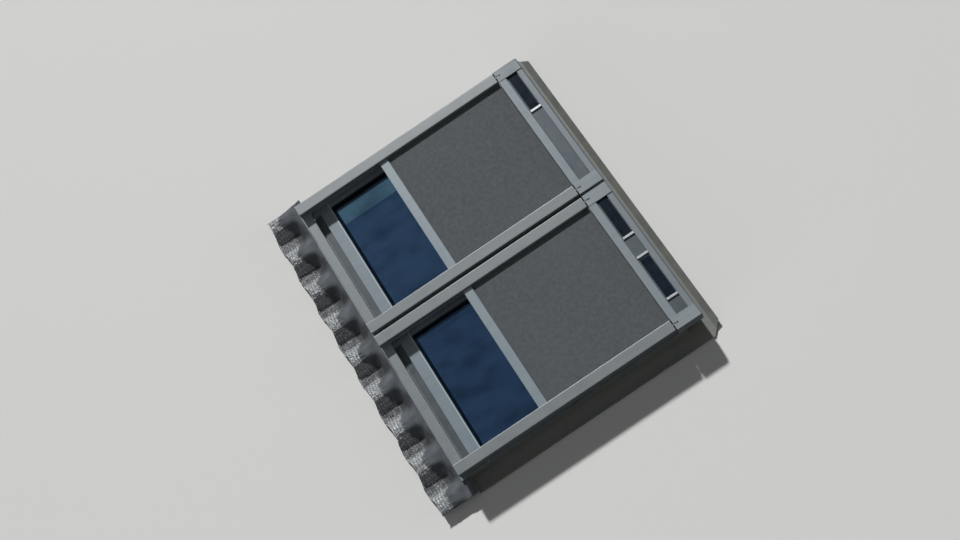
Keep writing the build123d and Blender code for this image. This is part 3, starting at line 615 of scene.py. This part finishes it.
SHEET_THICKNESS = 0.002
COVER_LIP = 0.005         # depth of the sill cover's front lip
FLAT_PAST_COVER = 0.003
WAVE_REACH = 0.33         # share of the apron's length over which it comes down
WAVE_STEEPNESS = 0.1      # of the flanks, as the share of a third harmonic
CREST_PULL = 0.02         # how far the eaves edge is drawn up on a crest
EDGE_UNEVEN = 0.003
CRIMP_LEAD = 0.03         # how far the crimps reach into the smooth strip on a crest
CRIMP_VALLEY_LEAD = 0.03  # and how much further in a valley
CRIMP_FADE = 0.035
RIDGE_WOBBLE = 1.5        # in radians of the pleats and creases
PLEAT_DEPTH = 0.0016
CREASE_DEPTH = 0.0012
CRUMPLE_DEPTH = 0.0035
DENT_DEPTH = 0.005
WAVE_ROWS = 58            # faces along and across the dressed part
APRON_ACROSS = 700

sheet_height = sill_low.z - SEAT
back_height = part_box("left_frame_sill")[1].z - SEAT
lip_back = sill_low.y + COVER_LIP
flat_end = sill_low.y - FLAT_PAST_COVER
wave_length = flat_end - apron_low.y
flashing_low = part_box("side_flashing_right")[0]

# Y and Z of the rows that lie under the covers, from the back
hidden_rows = [(apron_high.y, back_height),
               ((apron_high.y + lip_back) / 2, (back_height + sheet_height) / 2),
               (lip_back, sheet_height)]


def eased(t):
    """A soft step from 0 to 1."""
    t = max(0.0, min(1.0, t))
    return t * t * (3 - 2 * t)


def crest(x):
    """1 on a crest and 0 in a valley, with steep flanks."""
    turn = 2 * pi * (x - WAVE_CREST_X) / WAVE_PITCH
    return 0.5 + 0.5 * (cos(turn) - WAVE_STEEPNESS * cos(3 * turn)) / (1 - WAVE_STEEPNESS)


def ridge(place, pitch, wobble):
    """0 to 1 across a pleat or crease."""
    return 0.5 + 0.5 * sin(2 * pi * place / pitch + RIDGE_WOBBLE * wobble)


def hollow(x, y, seed):
    """Noise round one half that never falls below 0."""
    return max(0.5 + rough(x, y, seed), 0.0)


def waved_point(x, v):
    """The dressed part, with v from 0 by the sill cover to 1 at the eaves edge."""
    low, high = apron_low.z + SHEET_THICKNESS, apron_high.z
    top = crest(x)
    drawn_up = CREST_PULL * top + EDGE_UNEVEN * (1 + rough(x * 30.0, 0.0, 5.0))
    reach = v * (wave_length - drawn_up)
    y = flat_end - reach
    share = eased(reach / (WAVE_REACH * wave_length))
    z = sheet_height + share * (low + (high - low) * top - sheet_height)
    crimp = eased((reach - APRON_SMOOTH + CRIMP_LEAD + CRIMP_VALLEY_LEAD * (1 - top)) / CRIMP_FADE)
    pleats = PLEAT_DEPTH * ridge(x, PLEAT_PITCH, rough(x * 12.0, y * 40.0, 1.0))
    creases = CREASE_DEPTH * ridge(y, CREASE_PITCH, rough(x * 30.0, y * 12.0, 7.0))
    crumple = CRUMPLE_DEPTH * hollow(x * 60.0, y * 45.0, 3.0)
    dents = DENT_DEPTH * hollow(x * 16.0, y * 18.0, 9.0)
    z -= share * (crimp * (pleats + creases + crumple) + dents)
    return (x, y, max(z, low))


def apron_point(u, v):
    """Rows under the covers first; outside the frames the first one starts at the flashings."""
    x = apron_low.x + u * (apron_high.x - apron_low.x)
    row = round(v * (len(hidden_rows) + WAVE_ROWS))
    if row == 0 and abs(x) > flashing_low.x:
        return (x, flashing_low.y - SEAT, back_height)
    if row < len(hidden_rows):
        return (x, *hidden_rows[row])
    return waved_point(x, (row - len(hidden_rows)) / WAVE_ROWS)


apron = mesh_piece("apron_sheet", *grid(APRON_ACROSS, len(hidden_rows) + WAVE_ROWS, apron_point),
                   "apron_lead_grey", body="frame", smooth=True)
thick = apron.modifiers.new("thickness", "SOLIDIFY")
thick.thickness = SHEET_THICKNESS
thick.offset = -1.0 if apron.data.polygons[0].normal.z > 0 else 1.0
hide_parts("apron")


# Bright folded clips on the ribs beside the solar cells

CLIP_WALL = 0.0004
CLIP_LEG = 0.0032
RIB_DIGITS = 4            # a rib's sides are told apart to a tenth of a millimetre


def clip(name, x0, x1, y0, y1):
    """A strip folded over the rib from x0 to x1, drawn out along the rib from y0 to y1."""
    inner = (x0 - TOUCH_GAP, x1 + TOUCH_GAP)
    outer = (inner[0] - CLIP_WALL, inner[1] + CLIP_WALL)
    foot, under = RIB_HEIGHT - CLIP_LEG, RIB_HEIGHT + TOUCH_GAP
    top = under + CLIP_WALL
    outline = [(outer[0], foot), (inner[0], foot), (inner[0], under), (inner[1], under),
               (inner[1], foot), (outer[1], foot), (outer[1], top), (outer[0], top)]
    count = len(outline)
    verts = [(x, y, z) for y in (y0 + CLIP_WALL, y1 - CLIP_WALL) for x, z in outline]
    faces = [tuple(range(count)), tuple(range(2 * count - 1, count - 1, -1))]
    faces += [(i, count + i, count + (i + 1) % count, (i + 1) % count) for i in range(count)]
    mesh_piece(name, verts, faces, "zinc_steel", body="frame", look="bright_clip")


for window in windows:
    ribs = levels(f"{window}_cassette_housing", RIB_HEIGHT)
    edges = sorted({round(point.x, RIB_DIGITS) for point in ribs})
    for number, (x0, x1) in enumerate(zip(edges[::2], edges[1::2]), 1):
        clip(f"{window}_cell_clip_{number}", x0, x1, *span_y(ribs))


# Glazing gasket: a rubber lip round the glass, at the edge of the sash covers

GASKET_WIDTH = 0.0032
GASKET_HEIGHT = 0.0024
GASKET_SECTION = (        # shares of the width and the height
    (0.0, 0.0), (0.0, 1.0), (0.3, 1.0), (0.75, 0.6), (1.0, 0.0))

for window in windows:
    bottom_low, bottom_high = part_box(f"{window}_sash_bottom_cover")
    x0, x1 = bottom_low.x + SEAT, bottom_high.x - SEAT
    y0, y1 = bottom_high.y + SEAT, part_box(f"{window}_sash_top_cover")[0].y - SEAT
    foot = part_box(f"{window}_glass_panes")[1].z + TOUCH_GAP
    verts = []
    for width_share, height_share in GASKET_SECTION:
        inset, z = width_share * GASKET_WIDTH, foot + height_share * GASKET_HEIGHT
        verts += [(x0 + inset, y0 + inset, z), (x1 - inset, y0 + inset, z),
                  (x1 - inset, y1 - inset, z), (x0 + inset, y1 - inset, z)]
    rings = range(len(GASKET_SECTION))
    mesh_piece(f"{window}_glazing_gasket", verts, bands(zip(rings, (*rings[1:], 0)), 4),
               "spacer_black", body=f"{window}_sash", look="glazing_rubber")


# Screws that hold the outer end castings

SCREW_RADIUS = 0.0038
SCREW_HEAD = 0.0016
SCREW_SIDES = 24
HEAD_PROFILE = (          # shares of the radius and the head
    (1.0, 0.0), (1.0, 0.55), (0.86, 0.9), (0.6, 1.0))
SOCKET_RADIUS = 0.0019    # to the hexagon's corners
SOCKET_RISES = (1.0, 0.35)     # top and floor of the socket, as shares of the head
SCREW_PLACES = ((0.20, 0.30), (0.80, 0.30), (0.80, 0.72))    # shares of the casting's Y and Z


def screw(name, place, outward):
    """A flat round head with a hexagon socket; outward is the sign of its X direction."""
    angles = [2 * pi * i / SCREW_SIDES for i in range(SCREW_SIDES)]
    hexagon = [SOCKET_RADIUS * cos(pi / 6) / cos(angle % (pi / 3) - pi / 6) for angle in angles]
    rings = [([share * SCREW_RADIUS] * SCREW_SIDES, rise) for share, rise in HEAD_PROFILE]
    rings += [(hexagon, rise) for rise in SOCKET_RISES]
    verts = [(place[0] + outward * rise * SCREW_HEAD, place[1] + radius * cos(angle),
              place[2] + radius * sin(angle))
             for radii, rise in rings for radius, angle in zip(radii, angles)]
    last = (len(rings) - 1) * SCREW_SIDES
    faces = bands(((a, a + 1) for a in range(len(rings) - 1)), SCREW_SIDES)
    faces += [tuple(range(SCREW_SIDES)), tuple(range(last, last + SCREW_SIDES))]
    mesh_piece(name, verts, faces, "zinc_steel", body="frame")


for window, outward in zip(windows, (-1, 1)):
    low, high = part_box(f"{window}_cassette_ends")
    side = low.x if outward < 0 else high.x
    for number, (y_share, z_share) in enumerate(SCREW_PLACES, 1):
        place = (side + outward * TOUCH_GAP, low.y + y_share * (high.y - low.y),
                 low.z + z_share * (high.z - low.z))
        screw(f"{window}_casting_screw_{number}", place, outward)


# Stage: a pale floor, open under each window, with a dim well below it

FLOOR_REACH = 9.0
WELL_DEPTH = 0.7
LINING_DEPTH = 0.225      # of the glowing strip on the outer side of the left well, painted light for a lit lining
WELL_GLOWS = {"left": 0.2, "right": 0.16}     # brightness of the wells seen through the glass
LINING_GLOW = 0.45
OPEN_SHARE = 0.25         # share of a glow where no glass is in front of it

floor_z = cad_box[0][2]


def stage_mesh(name, verts, faces, material):
    obj = mesh_object(name, verts, faces)
    cover_with(obj, material)


def floor_surface():
    """Pale to the camera and darker to other rays, so that it throws little light back."""
    material, tree, shader, _ = start_material("floor_pale", roughness=0.7)
    seen = add(tree, "ShaderNodeLightPath").outputs["Is Camera Ray"]
    paint(tree, shader, blend_colour(tree, seen, tone(FLOOR_BOUNCE), tone(FLOOR_PALE)))
    return material


def dim_surface(name, glow, light=WHITE_LIGHT):
    """Dark with a weak glow, weaker still where the camera sees it without glass."""
    material, tree, shader, _ = start_material(
        name, roughness=0.9, Base_Color=tone(WELL_DARK), Emission_Color=tone(light))
    seen = add(tree, "ShaderNodeLightPath").outputs["Is Camera Ray"]
    tree.links.new(spread(tree, seen, to_min=glow, to_max=glow * OPEN_SHARE),
                   shader.inputs["Emission Strength"])
    return material


def opening(window):
    """Limits of the hole inside a window's frame, in X and then in Y."""
    jamb_x = sorted(corner.x for side in ("outer", "inner")
                    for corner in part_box(f"{window}_frame_jamb_{side}"))
    return (jamb_x[1], jamb_x[2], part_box(f"{window}_frame_sill")[1].y,
            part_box(f"{window}_frame_head")[0].y)


openings = [opening(window) for window in windows]
xs = sorted({-FLOOR_REACH, FLOOR_REACH, *(x for hole in openings for x in hole[:2])})
ys = [-FLOOR_REACH, *openings[0][2:], FLOOR_REACH]


def is_open(i, j):
    """Whether the floor's field from xs[i] and ys[j] lies under a window."""
    middle = (xs[i] + xs[i + 1]) / 2
    return j == 1 and any(hole[0] < middle < hole[1] for hole in openings)


floor_verts = [(x, y, floor_z) for y in ys for x in xs]
floor_row = len(xs)
floor_faces = [(j * floor_row + i, j * floor_row + i + 1,
                (j + 1) * floor_row + i + 1, (j + 1) * floor_row + i)
               for j in range(len(ys) - 1) for i in range(floor_row - 1) if not is_open(i, j)]
stage_mesh("floor", floor_verts, floor_faces, floor_surface())

lining_glow_surface = dim_surface("room_lining_glow", LINING_GLOW, LINING_LIGHT)
for window, (x0, x1, y0, y1) in zip(windows, openings):
    corners = [(x0, y0), (x1, y0), (x1, y1), (x0, y1)]
    well_verts = [(x, y, z) for z in (floor_z, floor_z - WELL_DEPTH) for x, y in corners]
    well_faces = [(4, 5, 6, 7), *bands([(0, 1)], 4)]
    stage_mesh(f"{window}_room", well_verts, well_faces,
               dim_surface(f"{window}_room_dark", WELL_GLOWS[window]))
    if window == "left":
        # a glowing strip on the well's outer side: painted light for a lit lining
        side, lining_end = x0 + SEAT, floor_z - LINING_DEPTH
        lining_verts = [(side, y0, floor_z), (side, y1, floor_z), (side, y1, lining_end),
                        (side, y0, lining_end)]
        stage_mesh("left_lining_glow", lining_verts, [(0, 1, 2, 3)], lining_glow_surface)


# Lamps: a sun from the left, a soft lamp above and two weak suns that fill the ends

def lamp(name, kind, place, aim, power, **settings):
    light = bpy.data.lights.new(name, kind)
    light.energy = power
    for key, value in settings.items():
        setattr(light, key, value)
    turn = (Vector(aim) - Vector(place)).to_track_quat("-Z", "Y").to_matrix().to_4x4()
    put_in_scene(name, light).matrix_world = Matrix.Translation(Vector(place)) @ turn


FLOOR_MIDDLE = (0.0, 0.0, 0.0)
PART_MIDDLE = (0.0, 0.0, 0.1)
lamp("key_lamp", "SUN", (-7.0, 0.4, 5.6), FLOOR_MIDDLE, power=3.5, angle=0.06)
lamp("soft_lamp", "AREA", (0.5, -3.0, 6.5), FLOOR_MIDDLE, power=10.0, shape="DISK", size=3.5)
lamp("eaves_fill", "SUN", (1.5, -6.0, 1.5), PART_MIDDLE, power=0.36, angle=0.55)
lamp("head_fill", "SUN", (1.5, 6.0, 1.5), PART_MIDDLE, power=0.36, angle=0.55)


# World: weak light all round, brighter in mirrors and glass and to the camera

WORLD_TINT = (0.94, 0.97, 1.0, 1.0)
WORLD_LIGHT = 0.07
MIRRORED_MORE = 0.3       # added in mirrors and behind glass
SEEN_MORE = 0.65          # added where the camera sees it

world = bpy.data.worlds.new("studio")
bpy.context.scene.world = world
world.use_nodes = True
sky = world.node_tree
background = sky.nodes["Background"]
rays = add(sky, "ShaderNodeLightPath").outputs
mirrored = calc(sky, "MAXIMUM", rays["Is Glossy Ray"], rays["Is Transmission Ray"])
more = plus(sky, times(sky, mirrored, MIRRORED_MORE), times(sky, rays["Is Camera Ray"], SEEN_MORE))
background.inputs["Color"].default_value = WORLD_TINT
sky.links.new(plus(sky, more, WORLD_LIGHT), background.inputs["Strength"])


# Camera: the photograph's place, turned to the middle of the part

CAMERA_PLACE = Vector((2.403, 0.076, 6.009))
CAMERA_UP = Vector((-0.7713, 0.5578, 0.3065))
CAMERA_LENS = 51.0
SENSOR_WIDTH = 36.0

camera = bpy.data.cameras.new("camera")
camera.lens = CAMERA_LENS
camera.sensor_width = SENSOR_WIDTH
back = (CAMERA_PLACE - Vector(PART_MIDDLE)).normalized()
right = CAMERA_UP.cross(back).normalized()
turned = Matrix((right, back.cross(right), back)).transposed().to_4x4()
camera_object = put_in_scene("camera", camera)
camera_object.matrix_world = Matrix.Translation(CAMERA_PLACE) @ turned
bpy.context.scene.camera = camera_object

bpy.context.scene.view_settings.view_transform = "Standard"
